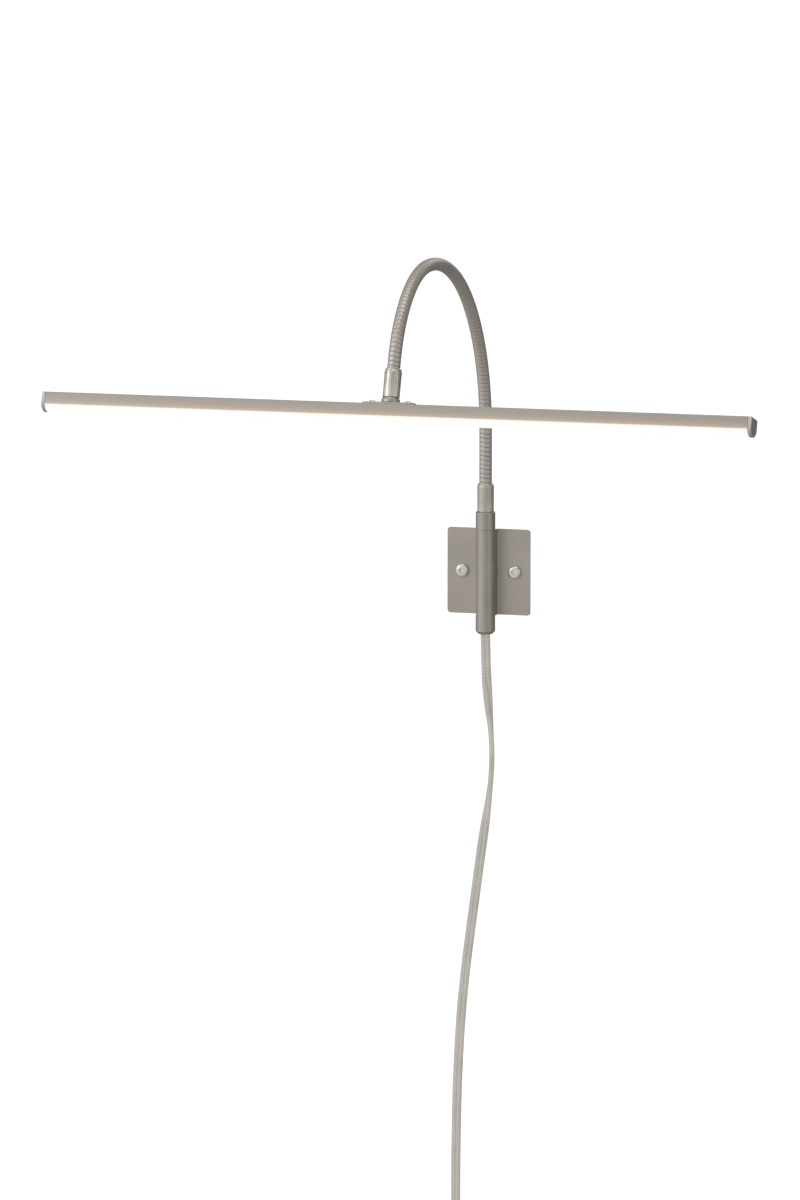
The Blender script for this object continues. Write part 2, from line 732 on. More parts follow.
@dataclass(frozen=True)
class NeckPath:
    """The neck's middle line at x = 0: a straight rise, a wide arc, a tighter arc and a straight end."""

    riser: float = 41.2
    arch_radius: float = 143.4
    arch_degrees: float = 94.6
    head_radius: float = 91.6
    head_degrees: float = 68.2
    stub: float = 6.0
    grip: float = 12.0
    links: int = 11
    arch_links: int = 6

    @property
    def foot(self) -> Array:
        """The point where the neck leaves the lower ferrule, read from the frame."""
        low, high = box_mm("lower_ferrule")
        return np.array([0.0, (low[1] + high[1]) / 2, high[2]])

    @property
    def arch(self) -> float:
        """Length of the wide arc."""
        return self.arch_radius * math.radians(self.arch_degrees)

    @property
    def head(self) -> float:
        """Length of the tighter arc."""
        return self.head_radius * math.radians(self.head_degrees)

    @property
    def length(self) -> float:
        """Length from the lower ferrule's mouth to the last hinge."""
        return self.riser + self.arch + self.head

    @property
    def end_degrees(self) -> float:
        """Angle turned at the bar."""
        return self.arch_degrees + self.head_degrees

    def turn_at(self, s: Array) -> Array:
        """Angle turned at the distance s: distance over radius on each arc, constant on the straights.

        Args:
            s: distances along the line in millimetres.

        Returns:
            The angles in radians.
        """
        arch = np.clip(s - self.riser, 0, self.arch) / self.arch_radius
        head = np.clip(s - self.riser - self.arch, 0, self.head) / self.head_radius
        return arch + head

    def at(self, s: Array) -> Array:
        """Points at the distances s: each arc's middle + radius * (cos, sin) of the angle, plus the ends.

        Args:
            s: distances along the line; below zero and past its length the line goes on straight.

        Returns:
            The points, of shape (..., 3).
        """
        s = np.asarray(s, float)
        foot = self.foot
        end = math.radians(self.arch_degrees)
        turned = self.turn_at(s)
        arch_c = np.array([foot[1] - self.arch_radius, foot[2] + self.riser])
        head_c = arch_c + (self.arch_radius - self.head_radius) * np.array([math.cos(end), math.sin(end)])
        in_head = (s > self.riser + self.arch)[..., None]
        centre = np.where(in_head, head_c, arch_c)
        radius = np.where(in_head, self.head_radius, self.arch_radius)
        way = np.stack([-np.sin(turned), np.cos(turned)], -1)
        past = np.minimum(s - self.riser, 0) + np.maximum(s - self.length, 0)
        flat = centre + radius * np.stack([np.cos(turned), np.sin(turned)], -1) + past[..., None] * way
        return np.concatenate([np.zeros((*s.shape, 1)), flat], -1)

    def hinge(self, i: int) -> float:
        """Distance of hinge i: 0 is above the lower ferrule and the last is next to the bar.

        Args:
            i: the hinge's number.

        Returns:
            The distance in millimetres.
        """
        if i == 0:
            return self.stub
        if i <= self.arch_links + 1:
            return self.riser + (i - 1) * self.arch / self.arch_links
        head_links = self.links - self.arch_links - 1
        return self.riser + self.arch + (i - 1 - self.arch_links) * self.head / head_links

    def bar_origin(self, beyond: float) -> Array:
        """The bar's own origin, a straight distance beyond the last hinge."""
        return self.at(np.array(self.length + beyond))


@dataclass
class Neck:
    """The wound conduit: one closed piece over each hinge, bending between the hinge's two links."""

    shop: Workshop
    path: NeckPath
    outer_radius: float = 5.0
    band: float = 3.5            # distance between bands along the neck
    crown: float = 0.04          # how far a band's edges lie below its middle, before the groove
    groove_depth: float = 0.3
    groove_power: float = 9.0
    across: tuple[float, ...] = (-1.0, -0.95, -0.89, -0.80, -0.62, -0.25, 0.25, 0.62, 0.80, 0.89, 0.95)
    sides: int = 44

    def piece(self, name: str, start: float, end: float) -> bpy.types.Object:
        """One stretch of conduit with flat closed ends.

        A row at x of band n and side j lies at s = band * (n + (x + 1) / 2 - j / sides), held between start
        and end, so rows follow the helix and the groove lies exactly on them. The radius is outer - crown *
        x^2 - depth * |x|^power, where x runs from -1 to 1 across a band. Rows past an end fall on the end
        ring and are merged.

        Args:
            name: the piece's name.
            start: distance along the neck at its first end.
            end: distance at its last end.

        Returns:
            The object.
        """
        rows = len(self.across)
        turns = np.arange(math.floor(start / self.band) - 1, math.ceil(end / self.band) + 3)
        level = (turns[:, None] + (np.array(self.across) + 1) / 2).reshape(-1, 1)
        j = np.arange(self.sides)[None]
        s = np.clip(self.band * (level - j / self.sides), start, end)
        x = np.abs(2 * np.mod(s / self.band + j / self.sides, 1) - 1)
        groove = x ** self.groove_power
        radius = self.outer_radius - self.crown * x ** 2 - self.groove_depth * groove
        angle = TAU * j / self.sides
        turned = self.path.turn_at(s)
        side = radius * np.sin(angle)
        points = self.path.at(s)
        points[..., 0] += radius * np.cos(angle)
        points[..., 1] += side * np.cos(turned)
        points[..., 2] += side * np.sin(turned)
        row, col = (v.ravel() for v in np.meshgrid(np.arange(rows, len(level) - 1), np.arange(self.sides),
                                                   indexing="ij"))
        wrap = col == self.sides - 1
        beside = np.where(wrap, 0, col + 1)
        lower, upper = row - wrap * rows, row + 1 - wrap * rows
        faces = np.stack([row * self.sides + col, lower * self.sides + beside,
                          upper * self.sides + beside, (row + 1) * self.sides + col], -1)
        mesh = bpy.data.meshes.new(name)
        mesh.from_pydata((points.reshape(-1, 3) * MM).tolist(), [], faces.tolist())
        stored = mesh.attributes.new("groove", "FLOAT", "POINT")
        stored.data.foreach_set("value", groove.ravel().astype(np.float32))
        self.close(mesh)
        made = bpy.data.objects.new(name, mesh)
        bpy.context.scene.collection.objects.link(made)
        return made

    @staticmethod
    def close(mesh: bpy.types.Mesh) -> None:
        """Merges the rows that fell on the end rings, closes both ends and turns the faces outward."""
        work = bmesh.new()
        work.from_mesh(mesh)
        bmesh.ops.remove_doubles(work, verts=work.verts, dist=1e-7)
        bmesh.ops.delete(work, geom=[v for v in work.verts if not v.link_faces], context="VERTS")
        bmesh.ops.holes_fill(work, edges=[e for e in work.edges if e.is_boundary], sides=0)
        bmesh.ops.recalc_face_normals(work, faces=work.faces)
        work.to_mesh(mesh)
        work.free()
        mesh.shade_smooth()
        mesh.set_sharp_from_angle(angle=math.radians(75))

    def build(self) -> None:
        """Makes the twelve pieces. Each runs from the middle of one link to the middle of the next."""
        nodes = ["neck_foot", *[f"neck_link_{i:02d}" for i in range(1, self.path.links + 1)], "neck_head"]
        total = self.path.length + self.path.stub + self.path.grip
        marks = [self.path.hinge(i) for i in range(self.path.links + 1)]
        cuts = [-self.path.grip, *[(a + b) / 2 for a, b in zip(marks, marks[1:])], total]
        for i in range(self.path.links + 1):
            stand_for = nodes[i:i + 1] if i < self.path.links else nodes[i:]
            piece = self.piece(f"conduit_{i + 1:02d}", cuts[i], cuts[i + 1])
            self.shop.fit(piece, CONDUIT, "", *stand_for)
            bend = max(cuts[i], 0.5), min(cuts[i + 1], self.path.length + self.path.stub - 0.5)
            start, end = self.path.at(np.array(bend)) * MM
            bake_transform(piece)
        leads = [f"neck_lead_{i:02d}" for i in range(1, self.path.links + 1)]
        self.shop.dress_node(CORES, *leads)


@dataclass(frozen=True)
class FerruleSizes:
    """A crimped ferrule: its length, its radii, the rolled ring at its mouth and its upright facets."""

    length: float = 22.3
    root_radius: float = 6.5
    conduit_radius: float = 5.0
    nipple_radius: float = 4.0
    clearance: float = 0.05
    grip: float = 12.0
    roll: float = 0.12           # how far the rolled ring stands out
    mouth: float = 0.3           # how far the mouth above it steps in
    facets: int = 22
    facet_depth: float = 0.12

    def body(self, steps: int = 132) -> Surface:
        """Shell of revolution, with its sides pressed in by depth * (1 - cos(facets * angle)) / 2.

        Args:
            steps: points round the ferrule.

        Returns:
            The shell about Z, with its root at z = 0 and its mouth at the top.
        """
        inner, sleeve = self.nipple_radius + self.clearance, self.conduit_radius + self.clearance
        side, top = self.root_radius, self.length
        ring, mouth = side + self.roll, side - self.mouth
        corners = [(inner, 0), (side, 0), (side, top - 4.4), (ring, top - 4.0), (ring, top - 2.4),
                   (mouth, top - 1.6), (mouth, top - 0.6), (sleeve + 0.4, top), (sleeve, top),
                   (sleeve, top - self.grip), (inner, top - self.grip)]
        radii = [0.05, 0.45, 0.15, 0.15, 0.3, 0.2, 0.35, 0.1, 0.05, 0.05, 0.05]
        profile = rounded(corners, radii, 4)
        more = np.linspace(2.0, top - 6.0, 7)
        rows = np.stack([np.full(len(more), side), more], -1)
        cut = int(np.argmax((profile[:, 0] > side - 1e-6) & (profile[:, 1] > 1.0)))
        profile = np.vstack([profile[:cut], rows, profile[cut:]])
        r, z = profile[:, :1], profile[:, 1:]
        outside = (r > side - 0.5) * smooth((z - 0.8) / 1.6) * smooth((top - 4.6 - z) / 1.6)
        angle = np.arange(steps) * TAU / steps
        swell = -self.facet_depth * outside * (1 - np.cos(self.facets * angle)) / 2
        return lathe(profile, steps, Ends.LOOP, swell)


@dataclass(frozen=True)
class WallSizes:
    """The folded wall plate, its sleeve and collars, and the two wall screws."""

    plate: float = 68.0
    sheet: float = 1.2
    corner: float = 2.5
    axis_y: float = -10.0
    fold_radius: float = 7.5
    bend_radius: float = 1.0
    screw_pitch: float = 43.0
    head_radius: float = 5.3
    head_height: float = 3.0
    hex_flats: float = 4.0
    hex_depth: float = 1.9
    shank_radius: float = 2.3
    shank_length: float = 30.0
    thread_pitch: float = 1.8
    collar_radius: float = 7.7
    top_collar: float = 14.3
    bottom_collar: float = 12.2
    exit_chamfer: float = 2.2
    sleeve_radius: float = 6.25
    sleeve_wall: float = 1.1
    thread: float = 8.0
    bush_radius: float = 5.0


@dataclass
class WallGroup:
    """Everything that is fixed to the wall, apart from the cord."""

    shop: Workshop
    ferrule: FerruleSizes
    sizes: WallSizes = field(default_factory=WallSizes)

    def plate(self) -> bpy.types.Object:
        """The folded plate: a sheet carried along wing, bend, side, half-round nose, side, bend and wing.

        The middle line has a point and a unit normal at each place. Front and back faces lie half a sheet
        either side of it. The height there is the plate's half height, less r - sqrt(r^2 - d^2) at the
        rounded corners.

        Returns:
            The plate, with its two screw holes.
        """
        z = self.sizes
        half, mid, deep = z.plate / 2, z.sheet / 2, z.bend_radius + z.sheet / 2
        bend_x = z.fold_radius + z.bend_radius
        bend_y = -z.sheet - z.bend_radius
        corner = half - z.corner + z.corner * np.sin(np.radians(np.linspace(0, 90, 9)))
        wing_x = -np.append(corner[::-1], np.linspace(half - z.corner, bend_x, 6)[1:-1])
        wing = np.stack([wing_x, np.full(len(wing_x), -mid)], -1)
        bend = arc((-bend_x, bend_y), deep, 90, 0, 8)
        nose = arc((0, z.axis_y), z.fold_radius - mid, 180, 270, 17)
        left = np.vstack([wing, bend, nose])
        toward = np.vstack([np.tile([0.0, -1.0], (len(wing), 1)), (np.array([-bend_x, bend_y]) - bend) / deep,
                            (nose - np.array([0, z.axis_y])) / (z.fold_radius - mid)])
        flip = np.array([-1.0, 1.0])
        middle = np.vstack([left, left[-2::-1] * flip])
        normal = np.vstack([toward, toward[-2::-1] * flip])
        beyond = np.clip(np.abs(middle[:, 0]) - (half - z.corner), 0, z.corner)
        height = half - z.corner + np.sqrt(z.corner ** 2 - beyond ** 2)
        loop = np.vstack([middle + normal * mid, (middle - normal * mid)[::-1]])
        tall = np.append(height, height[::-1])
        grid = np.stack([np.column_stack([loop, side * tall]) for side in (-1, 1)])
        shell = rings(grid, Ends.FLAT)
        count = len(middle)
        k = np.arange(count - 1)
        cap = np.stack([k, k + 1, 2 * count - 2 - k, 2 * count - 1 - k], -1)
        shell.faces[1:] = [cap[:, ::-1], cap + 2 * count]
        holes = [lathe(np.array([[z.shank_radius + 0.4, -1.0], [z.shank_radius + 0.4, 3.0]]), 40, Ends.FLAT)
                 .placed((side * z.screw_pitch / 2, 0, 0), turn("x", 90)) for side in (-1, 1)]
        return soften(pierce(Mesh().add(shell).build("wall_plate_skin"), holes), 0.22)

    def dome(self, r: Array) -> Array:
        """Height of a wall screw's head at a radius: height * (1 - (r / head radius)^4)^(1/4)."""
        share = np.clip(r / self.sizes.head_radius, 0, 1)
        return self.sizes.head_height * (1 - share ** 4) ** 0.25

    def thread(self, angle: Array) -> list[tuple[Array, Array]]:
        """Rings of the screw's shank, downward from the head.

        The radius is root + depth * triangle wave of (height / pitch - angle / 360 degrees). The thread
        grows in below a plain neck, and the whole shank narrows to a point over its last five millimetres.

        Args:
            angle: the angles of the points round a ring.

        Returns:
            Radius and height of each ring.
        """
        z, depth, tip, neck, grow = self.sizes, 0.45, 5.0, 2.5, 2.0
        made = []
        for level in np.arange(0.6, z.shank_length + 1.0, z.thread_pitch / 8):
            ridge = 1 - np.abs(2 * np.mod(level / z.thread_pitch - angle / TAU, 1) - 1)
            narrowed = np.clip((z.shank_length + z.sheet - level) / tip, 0.08, 1)
            cut = depth * np.clip((level - neck) / grow, 0, 1)
            made.append(((z.shank_radius - cut * (1 - ridge)) * narrowed, np.full(len(angle), -level)))
        return made

    def screw(self) -> Surface:
        """A wall screw about Z: a flat domed head upward from z = 0, with a hexagonal recess, and a shank.

        Rings run from the recess floor over the head and down to the point. A hexagon's radius at an angle
        is flats / 2 / cos(angle from the nearest side's middle). From its rim to the head's, the radius is
        mixed by the sine of the share of a quarter turn.

        Returns:
            The closed shell.
        """
        z = self.sizes
        steps, edge = 48, 0.1
        angle = np.arange(steps) * TAU / steps
        hexagon = z.hex_flats / 2 / np.cos((angle + math.pi / 6) % (math.pi / 3) - math.pi / 6)
        rim = hexagon + edge
        floor = np.full(steps, z.head_height - z.hex_depth)
        rows = [(hexagon * 0.05, floor - 0.25), (hexagon * 0.96, floor), (hexagon, floor + edge),
                (hexagon, self.dome(rim) - edge), (rim, self.dome(rim))]
        for share in np.sin(np.linspace(0.1, 1, 14) * math.pi / 2):
            radius = rim * (1 - share) + z.head_radius * share
            rows.append((radius, self.dome(radius)))
        rows += [(np.full(steps, z.head_radius - edge), np.full(steps, -0.01)),
                 (np.full(steps, z.shank_radius), np.full(steps, -0.02)), *self.thread(angle)]
        radius = np.stack([r for r, _ in rows])
        height = np.stack([h for _, h in rows])
        return rings(np.stack([radius * np.cos(angle), radius * np.sin(angle), height], -1), Ends.POLE)

    def turned(self, name: str, finish: Finish, node: str, profile: Array, steps: int = 64) -> None:
        """Turns a profile about the sleeve's axis, and dresses it as the piece that stands for a node."""
        piece = Mesh().add(lathe(profile, steps).placed((0, self.sizes.axis_y, 0))).build(name)
        self.shop.fit(piece, finish, "wall", node)

    def build(self) -> None:
        """Makes the plate, tube, collars, bush, screws and lower ferrule."""
        z, shop, gap = self.sizes, self.shop, self.ferrule.clearance
        half, outer = z.plate / 2, z.sleeve_radius
        shop.fit(self.plate(), NICKEL, "wall", "wall_plate")
        inner, end = outer - z.sleeve_wall, half + z.thread
        tube = [(inner, -end), (outer, -end), (outer, end), (inner, end)]
        self.turned("sleeve_skin", STEEL, "sleeve_tube", rounded(tube, 0.3))
        bore = outer + gap
        top = [(bore, half), (z.collar_radius, half), (z.collar_radius, half + z.top_collar),
               (bore, half + z.top_collar)]
        self.turned("top_collar_skin", TURNED_NICKEL, "top_collar", rounded(top, [0.1, 0.4, 0.55, 0.3]))
        low = -half - z.bottom_collar - z.exit_chamfer
        hole, step = z.bush_radius + 0.1, -half - z.thread - 0.5
        bottom = [(hole, low), (z.collar_radius - z.exit_chamfer, low),
                  (z.collar_radius, low + z.exit_chamfer), (z.collar_radius, -half), (bore, -half),
                  (bore, step), (hole, step)]
        bottom_radii = [0.2, 0.5, 0.7, 0.4, 0.1, 0.1, 0.1]
        self.turned("bottom_collar_skin", TURNED_NICKEL, "bottom_collar", rounded(bottom, bottom_radii))
        bush_low, bush_top, slot = low + 0.5, step - 0.5, 0.8
        bush = [(slot, bush_low + 0.4), (z.bush_radius - 1.2, bush_low), (z.bush_radius, bush_low),
                (z.bush_radius, bush_top), (slot, bush_top)]
        self.turned("cord_bush_skin", BUSH, "cord_bush", rounded(bush, [0.1, 0.3, 0.3, 0.2, 0.1], 4), 48)
        heads = [self.screw().placed((side * z.screw_pitch / 2, -z.sheet, 0),
                                     turn("x", 90) @ turn("z", 12 * side)) for side in (-1, 1)]
        shop.fit(Mesh().add(*heads).build("wall_screws_skin"), STEEL, "wall", "wall_screws")
        mouth = box_mm("lower_ferrule")[1][2]
        seat, sleeve, lift, deep = self.ferrule.nipple_radius + gap, outer - gap, 0.2, 5.2
        ring = rounded([(seat, -2 * lift), (seat + 1.5, -2 * lift), (seat + 1.5, lift), (seat, lift)], 0.1)
        spigot = rounded([(seat, -deep), (sleeve, -deep), (sleeve, -lift), (seat, -lift)],
                         [0.25, 0.25, 0.05, 0.05])
        place = (0, z.axis_y, mouth - self.ferrule.length)
        parts = (self.ferrule.body(), lathe(ring), lathe(spigot))
        ferrule = Mesh().add(*[part.placed(place) for part in parts])
        shop.fit(ferrule.build("lower_ferrule_skin"), CRIMPED_NICKEL, "wall", "lower_ferrule")
        shop.dress_node(SPLICE, "wire_splices")
        shop.dress_node(CORES, "sleeve_lead")


@dataclass(frozen=True)
class BarSizes:
    """The bar, its diffuser and caps, and its mounting on the neck."""

    length: float = 560.0
    width: float = 17.6
    height: float = 9.4
    wall: float = 1.2
    dome: float = 5.0
    diffuser: float = 1.4
    cap: float = 3.0
    shift: float = 3.8
    stack: float = 5.9
    board_top: float = -5.4
    board: float = 1.6
    rib: float = 1.1
    rib_height: float = 0.5
    mount_length: float = 42.0
    mount_width: float = 13.5
    mount: float = 1.6
    mount_pitch: float = 28.2
    collar_radius: float = 7.1
    screw_head_radius: float = 3.0
    screw_head_height: float = 2.3
    cap_gap: float = 0.12


@dataclass
class BarGroup:
    """The glowing bar and what holds it to the neck's end."""

    shop: Workshop
    path: NeckPath
    ferrule: FerruleSizes
    sizes: BarSizes = field(default_factory=BarSizes)

    def put(self, *shells: Surface) -> Mesh:
        """Places shells from the bar's own frame, with z = 0 on its top, into the light.

        Args:
            shells: shells in the bar's own frame.

        Returns:
            A mesh that holds them.
        """
        origin = self.path.bar_origin(self.path.stub + self.ferrule.length + self.sizes.stack)
        matrix = turn("x", self.path.end_degrees - 180)
        return Mesh().add(*[shell.placed(origin, matrix) for shell in shells])

    def dome_arc(self, inset: float, half_width: float, steps: int) -> Array:
        """The diffuser's arc from side to side: a circle through both lower edges and the dome's foot.

        Args:
            inset: distance inside the outer surface.
            half_width: half of the arc's width.
            steps: points on the arc.

        Returns:
            The (y, z) points.
        """
        z = self.sizes
        radius = ((z.width / 2) ** 2 + z.dome ** 2) / (2 * z.dome)
        centre = (0.0, -z.height - z.dome + radius)
        reach = math.degrees(math.asin(half_width / (radius - inset)))
        return arc(centre, radius - inset, -90 - reach, -90 + reach, steps)

    def housing(self) -> Surface:
        """The channel: an outline of sides, lips, ribs beside the board and inner top, carried along X.

        What is stored as lit is (d^2.5 + d^14) / 2 on the outside, where d is the share of the depth below
        the top, for the warm light at the lips.

        Returns:
            The shell in the bar's own frame.
        """
        z = self.sizes
        outer, inner = z.width / 2, z.width / 2 - z.wall
        inside = inner - z.rib
        upper = z.board_top + 0.1
        lower = z.board_top - z.board - 0.1 - z.rib_height
        side = [*[(outer, -share * z.height) for share in (0.2, 0.4, 0.6, 0.75, 0.86, 0.93)],
                (outer, -z.height), (inner, -z.height), (inner, lower), (inside, lower),
                (inside, lower + z.rib_height), (inner, lower + z.rib_height), (inner, upper),
                (inside, upper), (inside, upper + z.rib_height), (inner, upper + z.rib_height),
                (inner, -z.wall)]
        radii = [0] * 6 + [0.2, 0.15] + [0] * 9
        corners = [(outer, 0), *side, *[(-y, h) for y, h in side[::-1]], (-outer, 0)]
        outline = rounded(corners, [0.8, *radii, *radii[::-1], 0.8], 6)
        shell = prism(outline, z.shift - z.length / 2 + z.cap, z.shift + z.length / 2 - z.cap)
        depth = np.clip(-shell.points[:, 2] / z.height, 0, 1)
        outside = np.abs(shell.points[:, 1]) > inner + 0.1
        shell.values["lit"] = (0.5 * depth ** 2.5 + 0.5 * depth ** 14) * outside
        return shell

    def diffuser(self) -> Surface:
        """The domed diffuser: outer arc, legs that snap behind the lips and inner arc, carried along X.

        Returns:
            The shell in the bar's own frame.
        """
        z = self.sizes
        leg, foot = z.width / 2 - z.wall - 0.1, -z.height + 1.6
        outer = self.dome_arc(0.0, z.width / 2, 41)
        inner = self.dome_arc(z.diffuser, leg - 1.0, 25)
        legs = np.array([(leg, -z.height), (leg, foot), (leg - 1, foot)])
        outline = np.vstack([outer, legs, inner[::-1], legs[::-1] * [-1, 1]])
        shell = prism(outline, z.shift - z.length / 2 + z.cap + 0.1, z.shift + z.length / 2 - z.cap - 0.1)
        reach = np.abs(shell.points[:, 1]) / (z.width / 2)
        shell.values["edge"] = np.clip((reach - 0.86) / 0.14, 0, 1) ** 2
        return shell

    def cap(self, side: int) -> Surface:
        """An end cap: the bar's outline, its top corners rounded, over the cap's thickness.

        Args:
            side: -1 for the left cap, 1 for the right.

        Returns:
            The shell in the bar's own frame.
        """
        z = self.sizes
        half = z.width / 2
        top = rounded([(half, -z.height), (half, 0), (-half, 0), (-half, -z.height)], [0, 0.9, 0.9, 0], 6)
        outline = np.vstack([top, self.dome_arc(0.0, z.width / 2, 29)[1:-1]])
        end = z.shift + side * z.length / 2
        start = end - side * (z.cap - z.cap_gap)
        return prism(outline, min(start, end), max(start, end))

    def pan_head(self, place: float) -> Surface:
        """A small pan head with a cross recess: height falls by its depth where |x| or |y| is small.

        Args:
            place: x of the screw in the bar's own frame.

        Returns:
            The shell of head and shank.
        """
        z = self.sizes
        head, tall = z.screw_head_radius, z.screw_head_height
        steps, rows, flatness = 48, 22, 0.35
        half_slot, slope, reach, recess = 0.5, 0.2, 1.75, 0.75
        angle = np.arange(steps) * TAU / steps
        share = np.linspace(0.03, 1, rows)[:, None]
        r = head * np.sin(share * math.pi / 2)
        ball = np.sqrt(np.clip(1 - (r / head) ** 2, 0, 1))
        height = tall * (1 - (r / head) ** 4) * flatness + tall * (1 - flatness) * ball
        x, y = r * np.cos(angle), r * np.sin(angle)
        cross = np.maximum(smooth((half_slot - np.abs(x)) / slope), smooth((half_slot - np.abs(y)) / slope))
        slot = cross * smooth((reach - r) / (reach / 7))
        top = np.stack([x, y, height - recess * slot], -1)
        shank = np.array([[head, -0.01], [1.5, -0.02], [1.5, -4.6], [1.2, -5.4]])
        low = np.stack([shank[:, :1] * np.cos(angle), shank[:, :1] * np.sin(angle),
                        np.broadcast_to(shank[:, 1:], (len(shank), steps))], -1)
        return rings(np.concatenate([top, low]), Ends.POLE).placed((place, 0, z.mount), turn("z", 20))

    def build(self) -> None:
        """Makes the housing, diffuser, caps, mounting plate, screws, collar and upper ferrule."""
        z, shop = self.sizes, self.shop
        housing = soften(self.put(self.housing()).build("bar_housing_skin"), 0.12)
        shop.fit(housing, ALUMINIUM, "bar", "bar_housing")
        shop.fit(self.put(self.diffuser()).build("diffuser_skin"), FROSTED, "bar", "diffuser")
        for side, name in ((-1, "left"), (1, "right")):
            cap = soften(self.put(self.cap(side)).build(f"{name}_end_cap_skin"), 0.55, 3)
            shop.fit(cap, CAST_NICKEL, "bar", f"{name}_end_cap")
        half = z.mount_length / 2
        levels = [(half, z.mount_width / 2, 3.4, h) for h in (0.0, z.mount)]
        plate = self.put(stacked(levels, Ends.FLAT, 8)).build("mount_plate_skin")
        shop.fit(soften(plate, 0.35, 3), NICKEL, "bar", "mount_plate")
        screws = self.put(*[self.pan_head(side * z.mount_pitch / 2) for side in (-1, 1)])
        shop.fit(screws.build("mount_screws_skin"), STEEL, "bar", "mount_screws")
        bore, root = self.ferrule.nipple_radius + self.ferrule.clearance, self.ferrule.root_radius
        flange = z.stack - 0.8
        collar = rounded([(bore, z.mount), (z.collar_radius, z.mount), (z.collar_radius, flange - 1.2),
                          (z.collar_radius - 0.5, flange), (root - 1, flange), (root - 1, z.stack),
                          (bore, z.stack)], [0.1, 0.3, 0.35, 0.35, 0.15, 0.1, 0.1])
        shop.fit(self.put(lathe(collar)).build("neck_collar_skin"), TURNED_NICKEL, "bar", "neck_collar")
        ferrule = self.ferrule.body().placed((0, 0, z.stack))
        shop.fit(self.put(ferrule).build("upper_ferrule_skin"), CRIMPED_NICKEL, "bar", "upper_ferrule")
        shop.dress_node(STEEL, "bar_nipple", "nipple_nut")
        shop.dress_node(BOARD, "led_board")
        shop.dress_node(PHOSPHOR, "leds")
        shop.dress_node(CHIPS, "board_parts")
        shop.dress_node(CORES, "board_lead")


@dataclass(frozen=True)
class CordSizes:
    """The flat two-core cord, its coil, its switch and its plug.

    Each twist in the drop has the height at which it starts, the height that it takes and its share of a
    half turn.
    """

    width: float = 7.6
    thick: float = 4.2
    length: float = 1830.0
    axis_y: float = -10.0
    exit_z: float = -48.4
    switch_x: float = -24.0
    switch_top: float = -520.0
    switch_length: float = 58.0
    switch_width: float = 24.0
    switch_thick: float = 15.0
    coil_inner: float = 27.7
    coil_pitch: float = 4.4
    coil_turns: int = 5
    coil_z: float = -640.0
    front_y: float = -16.2
    end_x: float = 2.5
    plug_top: float = -674.0
    relief: float = 22.0
    plug_length: float = 32.0
    plug_width: float = 26.0
    plug_thick: float = 17.0
    blade_length: float = 16.0
    blade_pitch: float = 12.7
    twists: tuple[tuple[float, float, float], ...] = ((-74, 58, 0.6), (-166, 52, 0.4))


CORD_DROP = [(0, -48.4), (0.3, -60), (1, -82), (2.6, -104), (4.6, -125), (5.5, -146), (4.6, -165),
             (2.4, -184), (-0.4, -203), (-3.2, -222), (-5.8, -241), (-8.4, -260), (-11, -279), (-13.8, -300),
             (-16.8, -325), (-19.4, -352), (-21.4, -382), (-22.8, -415), (-23.6, -450), (-24, -488),
             (-24, -520)]


